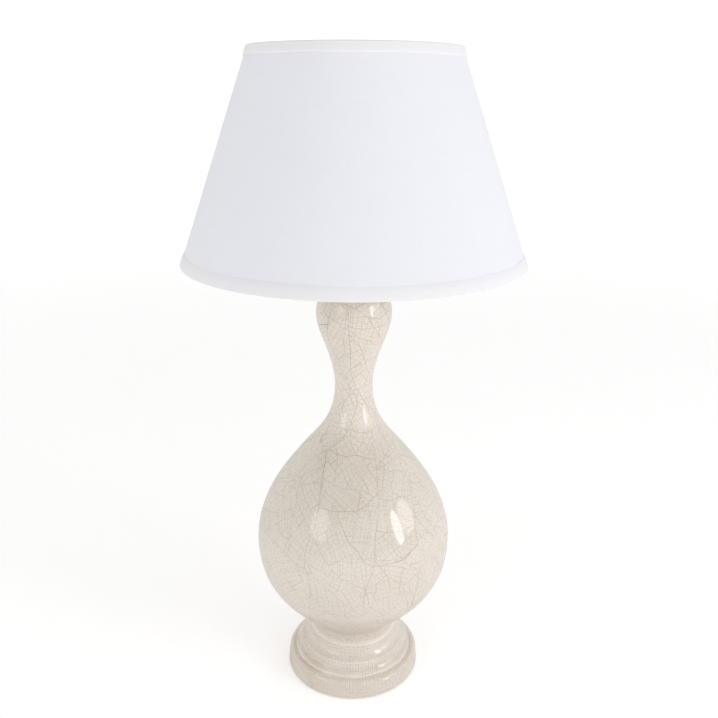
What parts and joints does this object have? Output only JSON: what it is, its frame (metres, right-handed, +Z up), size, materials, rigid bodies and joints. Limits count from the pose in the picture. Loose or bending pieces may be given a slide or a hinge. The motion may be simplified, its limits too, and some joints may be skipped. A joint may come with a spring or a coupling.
{
  "type": "table lamp",
  "caption": "Table lamp with a double gourd base in crackle-glazed ceramic on a stepped round foot, and a tapered drum shade in off-white fabric with banded edges.",
  "frame": {"origin": "centre of the felt's underside, on the surface that the lamp stands on", "axes": "+Z up along the lamp's axis; -Y is the front, where the switch key is; +Y is the back, where the cord inlet is"},
  "size_m": [0.42, 0.42, 0.83],
  "materials": {
    "crackle_glaze": "glossy ivory glaze with fine crackle",
    "felt": "pressed green felt",
    "bushing_plastic": "moulded ivory plastic",
    "zinc_steel": "zinc-plated steel",
    "brass": "satin brass",
    "holder_brass": "polished brass sheet",
    "insulating_paper": "varnished board",
    "black_plastic": "moulded black phenolic",
    "terminal_steel": "plated screw heads",
    "bulb_metal": "bright screw cap",
    "bulb_glass": "frosted white glass",
    "black_glass": "black insulating glass",
    "solder": "solder tip",
    "shade_cloth": "fine off-white fabric",
    "shade_liner": "white translucent liner",
    "shade_trim": "folded fabric band",
    "painted_wire": "white painted steel wire"
  },
  "bodies": {
    "lamp_base": {"ceramic_body": "crackle_glaze", "base_felt": "felt", "cord_bushing": "bushing_plastic", "clamp_washer": "zinc_steel", "lock_washer": "zinc_steel", "clamp_nut": "zinc_steel", "lamp_pipe": "zinc_steel", "vase_cap": "brass", "neck_spacer": "brass", "saddle_nut": "zinc_steel", "harp_saddle": "brass", "socket_cap": "holder_brass", "cap_set_screw": "terminal_steel", "socket_shell": "holder_brass", "socket_sleeve": "insulating_paper", "socket_core": "black_plastic", "terminal_screws": "terminal_steel", "screw_shell": "holder_brass", "centre_contact": "brass"},
    "switch": {"switch_spindle": "terminal_steel", "switch_key": "black_plastic"},
    "bulb": {"bulb_contact": "solder", "bulb_insulator": "black_glass", "bulb_cap": "bulb_metal", "bulb_glass": "bulb_glass"},
    "harp_loop": {"harp": "brass"},
    "sleeve_left": {"ferrule_left": "brass"},
    "sleeve_right": {"ferrule_right": "brass"},
    "stud": {"harp_stud": "brass"},
    "finial_knob": {"finial": "brass"},
    "shade": {"shade_fabric": "shade_cloth", "shade_liner": "shade_liner", "shade_lower_trim": "shade_trim", "shade_lower_ring": "painted_wire", "shade_upper_trim": "shade_trim", "shade_spider": "painted_wire"}
  },
  "joints": [
    {"name": "switch_turn", "type": "hinge", "parent": "lamp_base", "child": "switch", "pos_m": [0, -0.02, 0.61], "axis": [0, -1, 0], "continuous": true},
    {"name": "bulb_lift", "type": "slide", "parent": "lamp_base", "child": "bulb", "axis": [0, 0, 1], "range_m": [0, 0.03]},
    {"name": "harp_lift", "type": "slide", "parent": "lamp_base", "child": "harp_loop", "axis": [0, 0, 1], "range_m": [0, 0.12]},
    {"name": "sleeve_left_lift", "type": "slide", "parent": "harp_loop", "child": "sleeve_left", "axis": [0, 0, 1], "range_m": [0, 0.009]},
    {"name": "sleeve_right_lift", "type": "slide", "parent": "harp_loop", "child": "sleeve_right", "axis": [0, 0, 1], "range_m": [0, 0.009]},
    {"name": "stud_swivel", "type": "hinge", "parent": "harp_loop", "child": "stud", "pos_m": [0, 0, 0.801], "axis": [0, 0, 1], "continuous": true},
    {"name": "shade_lift", "type": "slide", "parent": "stud", "child": "shade", "axis": [0, 0, 1], "range_m": [0, 0.3]},
    {"name": "finial_lift", "type": "slide", "parent": "stud", "child": "finial_knob", "axis": [0, 0, 1], "range_m": [0, 0.33]}
  ],
  "couplings": [
    {"joint": "finial_lift", "follows": "shade_lift", "ratio": 1.1}
  ]
}
